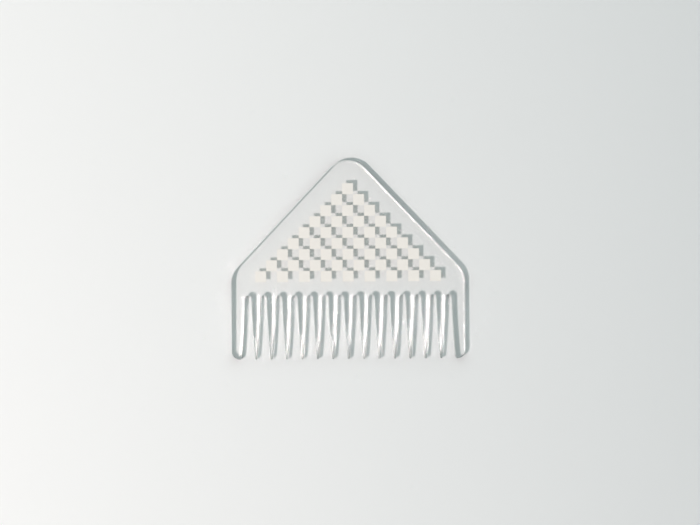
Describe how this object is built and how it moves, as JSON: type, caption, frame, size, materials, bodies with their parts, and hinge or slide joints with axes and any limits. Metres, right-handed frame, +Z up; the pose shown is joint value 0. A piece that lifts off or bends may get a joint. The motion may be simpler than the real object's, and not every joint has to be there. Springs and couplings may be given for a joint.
{
  "type": "hair comb",
  "caption": "Flat clear acrylic hair comb with a peaked back, tapered round-tipped teeth and a triangular printed panel of checks.",
  "frame": {"origin": "centre of the comb's outline, on the lower face that it lies on", "axes": "+X along the row of teeth, +Y from the tips to the peak, +Z up through the thickness of the sheet to the printed face"},
  "size_m": [0.086, 0.073, 0.004],
  "materials": {
    "clear_acrylic": "polished faces, fire-polished cut edges",
    "white_ink": "matt opaque ink, warm white"
  },
  "bodies": {
    "root": {"comb_body": "clear_acrylic", "printed_checks": "white_ink"}
  },
  "joints": []
}
